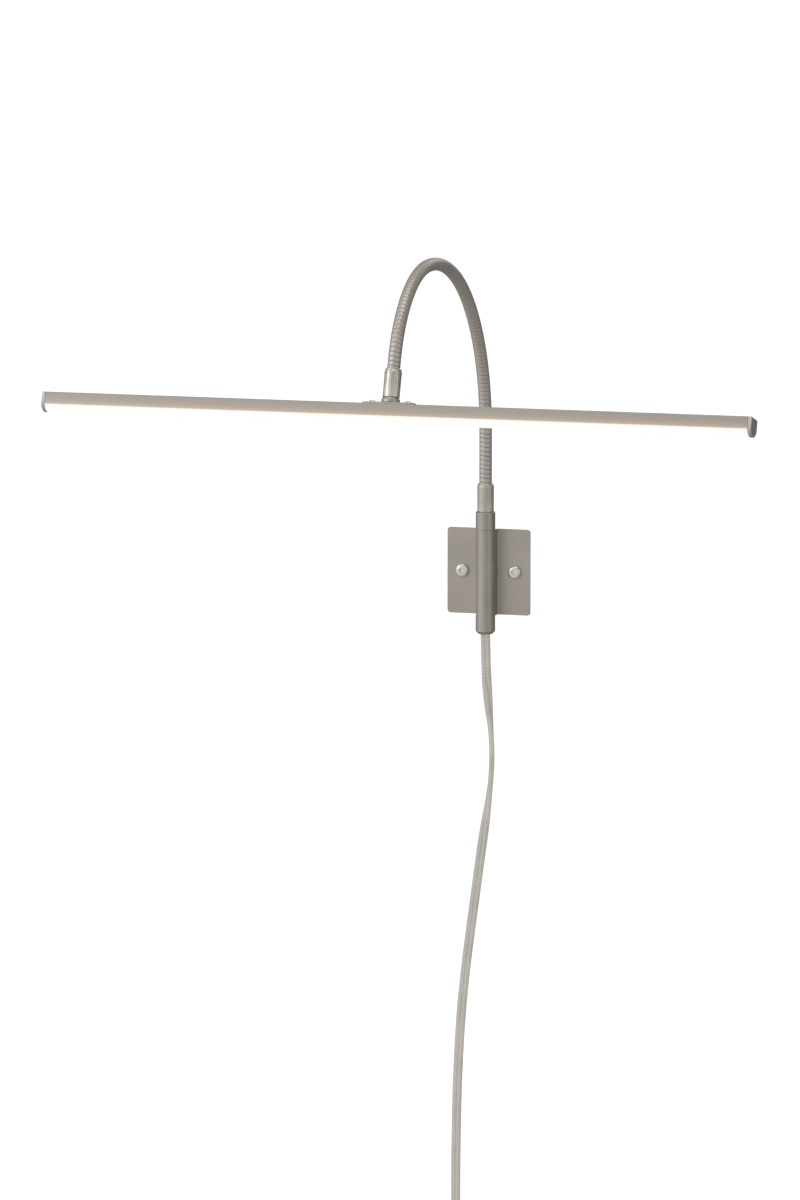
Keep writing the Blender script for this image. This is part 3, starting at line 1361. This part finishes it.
@dataclass
class CordGroup:
    """The cord in one piece from the plate to the plug, and what is on it."""

    shop: Workshop
    sizes: CordSizes = field(default_factory=CordSizes)

    @staticmethod
    def curve(points: Array, steps: int) -> Array:
        """Smooth line through points, by Catmull and Rom.

        The slope at each point is half the step from the point before to the point after.

        Args:
            points: the points, of shape (n, 3).
            steps: points on each stretch.

        Returns:
            The line, with its last point.
        """
        padded = np.vstack([2 * points[0] - points[1], points, 2 * points[-1] - points[-2]])
        t = np.arange(steps)[None, :, None] / steps
        p0, p1, p2, p3 = (padded[i:len(padded) - 3 + i, None] for i in range(4))
        line = 0.5 * (2 * p1 + (p2 - p0) * t + (2 * p0 - 5 * p1 + 4 * p2 - p3) * t ** 2
                      + (3 * p1 - p0 - 3 * p2 + p3) * t ** 3)
        return np.vstack([line.reshape(-1, 3), points[-1:]])

    def middle(self) -> Array:
        """The cord's middle line: drop, switch, the crossing before the coil, coil and way to the plug.

        The coil's radius is inner + pitch * turns. In its first half turn it goes back from the crossing,
        and in its last quarter turn it widens to leave the coil.

        Returns:
            Points about 2.8 mm apart, of shape (n, 3).
        """
        z = self.sizes
        low = z.switch_top - z.switch_length
        drop = [(0, z.axis_y, z.exit_z + 5)] + [(x, z.axis_y, h) for x, h in CORD_DROP]
        tail = [(z.switch_x, z.axis_y, z.switch_top - 29), (z.switch_x, z.axis_y, low),
                (z.switch_x, z.axis_y - 2.6, low - 6), (z.switch_x, z.front_y + 0.4, low - 12),
                (z.switch_x, z.front_y, low - 20), (z.switch_x, z.front_y, -620)]
        angle = np.linspace(0, TAU * z.coil_turns, 72 * z.coil_turns + 1)
        radius = z.coil_inner + z.coil_pitch * angle / TAU
        centre_x = z.switch_x - z.coil_inner
        out = z.end_x - centre_x - radius[-1]
        radius = radius + out * smooth((angle - TAU * z.coil_turns + TAU / 4) / (TAU / 4))
        back = z.front_y + (z.axis_y - z.front_y) * smooth(angle / (TAU / 2))
        coil = np.stack([centre_x + radius * np.cos(angle), back, z.coil_z - radius * np.sin(angle)], -1)
        to_coil = self.curve(np.array([*drop, *tail, coil[0], coil[4]], float), 8)[:-9]
        way_out = np.array([(z.end_x, z.axis_y, h) for h in np.linspace(z.coil_z - 6, z.plug_top - 6, 8)])
        line = np.vstack([to_coil, coil, way_out])
        along = np.append(0, np.cumsum(np.linalg.norm(np.diff(line, axis=0), axis=1)))
        even = np.linspace(0, along[-1], int(along[-1] / 2.8))
        return np.stack([np.interp(even, along, line[:, i]) for i in range(3)], -1)

    def section(self, sides: int) -> Array:
        """The two-lobed section: x = half width * cos(a), and y = +-h(x). Beyond a lobe's middle h is a
        circle. Between the two middles h is the circle's radius less a groove shaped as cos^2.

        Args:
            sides: points round the section.

        Returns:
            The outline as an array of shape (sides, 2).
        """
        z = self.sizes
        a = (np.arange(sides) + 0.5) * TAU / sides
        lobe, centre, groove = z.thick / 2, z.width / 2 - z.thick / 2, 0.45
        x = z.width / 2 * np.cos(a)
        outside = np.sqrt(np.clip(lobe ** 2 - (np.abs(x) - centre) ** 2, 0, None))
        between = lobe - groove * np.cos(np.clip(x / centre, -1, 1) * math.pi / 2) ** 2
        h = np.where(np.abs(x) > centre, outside, between)
        return np.stack([x, np.sign(np.sin(a)) * h], -1)

    def cord(self, line: Array) -> Surface:
        """The cord's skin: the section carried along the middle line, turned about it by a twist.

        One axis of the section lies in the plane of the drop and the coil, the other stands on it. The
        twist adds half a turn in the drop and a quarter turn on the way into the coil.

        Args:
            line: the middle line.

        Returns:
            The closed shell with the place across and along the cord stored at its points.
        """
        z = self.sizes
        way = np.gradient(line, axis=0)
        way /= np.linalg.norm(way, axis=1, keepdims=True)
        flat = np.cross(way, [0.0, 1.0, 0.0])
        flat /= np.linalg.norm(flat, axis=1, keepdims=True)
        stand = np.cross(flat, way)
        in_drop = line[:, 2] > z.switch_top
        half_turn = sum(share * smooth((start - line[:, 2]) / span) for start, span, share in z.twists)
        half_turn = np.where(in_drop, half_turn, 1.0)
        s = np.append(0, np.cumsum(np.linalg.norm(np.diff(line, axis=0), axis=1)))
        into = s[np.argmax(line[:, 2] < z.coil_z + 2)]
        quarter = smooth((s - into) / (z.coil_inner * math.pi * 0.9))
        twist = (math.pi * half_turn + math.pi / 2 * quarter)[:, None]
        shape = self.section(24)
        across = np.cos(twist) * shape[:, 0] - np.sin(twist) * shape[:, 1]
        upright = np.sin(twist) * shape[:, 0] + np.cos(twist) * shape[:, 1]
        grid = line[:, None] + across[..., None] * flat[:, None] + upright[..., None] * stand[:, None]
        return rings(grid, Ends.FLAT, across=shape[None, :, 0] / (z.width / 2), along=s[:, None])

    def tie(self) -> list[Surface]:
        """The strap round the turns: a rounded band closed round the coil's section, and its free end.

        Returns:
            The band and its free end, in place.
        """
        z = self.sizes
        slack, strap, half, corner, lean = 0.25, 1.15, 6.0, 1.2, 30
        end_half, end_corner, end_thick, steps = 9, 2.5, 0.8, 8
        outer = z.coil_inner + z.coil_pitch * z.coil_turns
        middle, reach = (z.coil_inner + outer) / 2, (outer - z.coil_inner) / 2 + z.thick / 2 + slack
        deep = z.width / 2 + slack
        place = (z.switch_x - z.coil_inner, z.axis_y, z.coil_z)
        lanes = [(strap, -half), (strap, half), (0.0, half), (0.0, -half)]
        loop = np.stack([np.column_stack([round_rect(reach + t, deep + t, corner + t, steps),
                                          np.full(4 * steps, h)]) for t, h in lanes])
        band = rings(loop, Ends.LOOP).placed((-middle, 0, 0))
        levels = [(end_half, half - 0.1, end_corner, deep + strap + rise) for rise in (0, end_thick)]
        free_end = stacked(levels, Ends.FLAT).placed((1 - middle, 0, 0), turn("x", 90))
        return [part.placed(place, turn("y", lean)) for part in (band, free_end)]

    def plug(self) -> Surface:
        """The plug's body: rounded sections from the ringed relief over a sloped shoulder to the flat face.

        Returns:
            The shell, in place.
        """
        z = self.sizes
        wide, deep, corner = z.plug_width / 2, z.plug_thick / 2, 4.4
        face = -z.relief - z.plug_length
        ribs, rib_pitch, rib, rib_groove, first_radius, growth = 7, 3.0, 1.9, 0.6, 4.6, 0.22
        neck, neck_corner, shoulder = 6.2, 6.0, 9.0
        grips, grip_pitch, grip_groove, first_grip = 4, 3.4, 0.7, 12.0
        levels: list[tuple[float, float, float, float]] = []
        for i in range(ribs):
            top, r = -i * rib_pitch, first_radius + growth * i
            inner = r - rib_groove
            for radius, roundness, below in ((r, r, 0), (r + 0.05, r, rib), (inner, inner, rib + 0.2),
                                             (inner, inner, rib + 0.9)):
                levels.append((radius, radius, roundness * 0.98, top - below))
        for t in np.linspace(0, 1, 8):
            grow = float(smooth(np.array(t)))
            levels.append((neck + (wide - neck) * grow, neck + (deep - neck) * grow,
                           neck_corner + (corner - neck_corner) * grow, -z.relief - shoulder * t))
        for i in range(grips):
            top = -z.relief - first_grip - grip_pitch * i
            for inset, below in ((0, 0), (grip_groove, 0.5), (grip_groove, 1.5), (0, 2.0)):
                roundness = corner - 0.2 if inset else corner
                levels.append((wide - inset, deep, roundness, top - below))
        for inset, roundness, rise in ((0, corner, 1.4), (0.4, 4.0, 0.4), (1.4, 3.2, 0)):
            levels.append((wide - inset, deep - inset, roundness, face + rise))
        return stacked(levels, Ends.FLAT, 8).placed((z.end_x, z.axis_y, z.plug_top))

    def blades(self) -> bpy.types.Object:
        """Two flat blades with a hole near the tip and narrowed ends.

        Returns:
            The two blades, pierced.
        """
        z = self.sizes
        face = z.plug_top - z.relief - z.plug_length
        half_thick, half_wide, corner, taper, hole_radius, hole_rise = 0.76, 3.175, 0.1, 1.6, 1.6, 4.0
        levels = [(half_thick, half_wide, corner, height) for height in (2.0, taper - z.blade_length)]
        levels.append((0.35, 2.6, corner, -z.blade_length))
        through = np.array([[hole_radius, -2.0], [hole_radius, 2.0]])
        parts, holes = [], []
        for side in (-1, 1):
            x = z.end_x + side * z.blade_pitch / 2
            parts.append(stacked(levels, Ends.FLAT, 3).placed((x, z.axis_y, face)))
            hole = lathe(through, 28, Ends.FLAT)
            holes.append(hole.placed((x, z.axis_y, face - z.blade_length + hole_rise), turn("y", 90)))
        return soften(pierce(Mesh().add(*parts).build("plug_blades_skin"), holes), 0.12)

    def shells(self) -> tuple[Surface, Surface]:
        """The switch's two halves about its middle, facing +z: rounded rectangles from rim to edge to face.

        The upper half has an opening for the rocker and the lower half is a closed tray.

        Returns:
            The upper and the lower shell.
        """
        z = self.sizes
        x, y, h = z.switch_width / 2, z.switch_length / 2, z.switch_thick / 2
        wall, edge, corner, inner_corner, joint, floor = 1.8, 1.6, 6.0, 4.2, 0.25, 2.0
        bend = [(math.sin(a), math.cos(a)) for a in np.radians([0, 22.5, 45, 67.5, 90])]
        sides = [(x, y, corner, joint), (x, y, corner, h - edge)]
        crown = [(x - edge * (1 - c), y - edge * (1 - c), corner - edge * (1 - c), h - edge + edge * s)
                 for s, c in bend]
        hole_x, hole_y = 4.8, 8.7
        opening = [(hole_x + 1.4, hole_y + 1.4, 2.2, h), (hole_x + 0.7, hole_y + 0.7, 1.6, h - 0.55),
                   (hole_x, hole_y, 1.0, h - 0.6), (hole_x, hole_y, 1.0, h - floor)]
        inside = [(x - wall, y - wall, inner_corner, height) for height in (h - floor, joint)]
        top = stacked(sides + crown + opening + inside, Ends.LOOP)
        middle = (1.0, 1.5, 0.9)
        tray = [(*middle, edge - h), (x - wall, y - wall, inner_corner, edge - h),
                (x - wall, y - wall, inner_corner, -0.05), (x - 0.4, y - 0.4, corner - 0.4, -0.05),
                (x, y, corner, -0.35), (x, y, corner, edge - h)]
        under = [(a, b, c, -d) for a, b, c, d in crown[1:]]
        bottom = stacked([*tray, *under, (*middle, -h)], Ends.POLE)
        return top, bottom

    def rocker(self) -> Surface:
        """The rocker: a profile with a hollow top between two raised ends, carried across its width.

        Returns:
            The shell about the switch's middle.
        """
        reach, crest, half_width = 7.4, 5.2, 4.5
        ends = np.array([(-reach, 5.9), (-6.2, 5.75)])
        across = np.linspace(-crest, crest, 13)
        hollow = np.stack([across, 5.6 - 1.5 * np.cos(across / crest * math.pi / 2)], -1)
        low = np.array([(reach, 1.8), (2.0, 1.0), (-2.0, 1.0), (-reach, 1.8)])
        return prism(np.vstack([ends, hollow, ends[::-1] * [-1, 1], low]), -half_width, half_width)

    def build(self) -> None:
        z, shop = self.sizes, self.shop
        line = self.middle()
        length = float(np.linalg.norm(np.diff(line, axis=0), axis=1).sum())
        log.info("cord: %.3f m along its middle line", length * MM)
        cord = Mesh().add(self.cord(line)).build("power_cord_skin")
        shop.fit(cord, CLEAR_CORD, "wall", "power_cord", "cord_tail", "cord_coil", "cord_end")
        tie = soften(Mesh().add(*self.tie()).build("cord_tie_skin"), 0.2)
        shop.fit(tie, STRAP, "wall", "cord_tie")
        plug = Mesh().add(self.plug()).build("plug_body_skin")
        shop.fit(plug, CLEAR_PLASTIC, "wall", "plug_body")
        blades = shop.fit(self.blades(), BRASS, "wall", "plug_blades")
        middle = (z.switch_x, z.axis_y, z.switch_top - z.switch_length / 2)
        top, bottom = self.shells()
        upper = Mesh().add(top.placed(middle, turn("x", 90))).build("switch_top_skin")
        lower = Mesh().add(bottom.placed(middle, turn("x", 90))).build("switch_bottom_skin")
        shop.fit(upper, SWITCH_SHELL, "wall", "switch_top")
        shop.fit(lower, SWITCH_SHELL, "wall", "switch_bottom")
        rocker = Mesh().add(self.rocker().placed(middle, turn("x", 90))).build("switch_rocker_skin")
        shop.fit(soften(rocker, 0.35), ROCKER_CAP, "rocker", "switch_rocker")


# ---------- studio ----------


@dataclass(frozen=True)
class Lamp:
    """A soft square light: where it stands, where it points, its size, its power and its colour."""

    name: str
    place: tuple[float, float, float]
    aim: tuple[float, float, float]
    size: float
    power: float
    colour: Colour = (1.0, 1.0, 1.0)


@dataclass
class Studio:
    """Camera, floor and soft lights, in metres."""

    eye: tuple[float, float, float] = (1.7388, -5.6874, 0.7935)
    aim: tuple[float, float, float] = (-0.0662, -0.0234, -0.0227)
    lens: float = 228.7
    sensor: float = 36.0
    bright_side: tuple[float, float, float] = (-0.70, -0.66, 0.28)
    floor_drop: float = 0.03
    floor_size: float = 90.0
    lamps: tuple[Lamp, ...] = (
        Lamp("Key light", (-3.2, -3.0, 1.5), (0, -0.1, 0.05), 2.4, 26),
        Lamp("Fill light", (3.0, -1.5, 0.6), (0, -0.1, 0.0), 1.6, 8),
        Lamp("Top light", (0.2, -0.3, 2.6), (0, -0.1, 0.1), 1.6, 10),
        Lamp("Back light", (0.4, 2.6, 1.4), (0, -0.1, 0.1), 1.6, 8),
    )

    def camera(self) -> None:
        """Adds the camera and makes it the scene's."""
        data = bpy.data.cameras.new("Camera")
        data.lens, data.sensor_width = self.lens, self.sensor
        data.clip_end = 200
        camera = bpy.data.objects.new("Camera", data)
        camera.location = self.eye
        camera.rotation_mode = "QUATERNION"
        camera.rotation_quaternion = (Vector(self.aim) - Vector(self.eye)).to_track_quat("-Z", "Y")
        bpy.context.scene.collection.objects.link(camera)
        bpy.context.scene.camera = camera

    def floor(self) -> None:
        """Adds a wide pale floor a little below the plug."""
        half, low = self.floor_size / 2, CAD_BOX[0].z - self.floor_drop
        mesh = bpy.data.meshes.new("floor")
        corners = [(x * half, y * half, low) for x, y in ((-1, -1), (1, -1), (1, 1), (-1, 1))]
        mesh.from_pydata(corners, [], [(0, 1, 2, 3)])
        floor = bpy.data.objects.new("floor", mesh)
        bpy.context.scene.collection.objects.link(floor)
        material = bpy.data.materials.new("pale_floor")
        material.use_nodes = True
        shader = material.node_tree.nodes["Principled BSDF"]
        shader.inputs["Base Color"].default_value = (0.3, 0.3, 0.3, 1)
        shader.inputs["Roughness"].default_value = 0.9
        shader.inputs["Specular IOR Level"].default_value = 0.1
        shader.inputs["Emission Color"].default_value = (1, 1, 1, 1)
        shader.inputs["Emission Strength"].default_value = 0.94
        mesh.materials.append(material)
        floor.visible_glossy = False

    def light(self) -> None:
        """Adds the soft lights and a grey surrounding, dark behind the wall and lightest on one side."""
        for lamp in self.lamps:
            data = bpy.data.lights.new(lamp.name, "AREA")
            data.size, data.energy, data.color = lamp.size, lamp.power, lamp.colour
            made = bpy.data.objects.new(lamp.name, data)
            made.location = lamp.place
            made.rotation_mode = "QUATERNION"
            made.rotation_quaternion = (Vector(lamp.aim) - Vector(lamp.place)).to_track_quat("-Z", "Y")
            bpy.context.scene.collection.objects.link(made)
        world = bpy.data.worlds.new("Studio")
        world.use_nodes = True
        nodes = Nodes(world.node_tree)
        way = nodes.add("ShaderNodeTexCoord").outputs["Generated"]
        both = {0: way, 1: self.bright_side}
        facing = nodes.add("ShaderNodeVectorMath", both, operation="DOT_PRODUCT").outputs[1]
        lightness = nodes.spread(facing, -0.1, 1.0, 0.0, 1.0)
        front = nodes.mix(lightness, (0.38, 0.372, 0.36, 1), (0.82, 0.81, 0.79, 1))
        behind = nodes.add("ShaderNodeSeparateXYZ", {0: way}).outputs[1]
        shade = nodes.mix(nodes.spread(behind, 0.2, 1.0, 0.0, 1.0), front, (0.15, 0.147, 0.142, 1))
        nodes.tree.links.new(shade, world.node_tree.nodes["Background"].inputs["Color"])
        bpy.context.scene.world = world
        bpy.context.scene.view_settings.view_transform = "Standard"


def main() -> None:
    """Builds the studio, the cord and then each sub-assembly, in that order."""
    studio = Studio()
    studio.camera()
    shop = Workshop(Paintbox())
    CordGroup(shop).build()
    path, ferrule = NeckPath(), FerruleSizes()
    WallGroup(shop, ferrule).build()
    Neck(shop, path).build()
    BarGroup(shop, path, ferrule).build()
    studio.floor()
    studio.light()


if __name__ == "__main__":
    main()
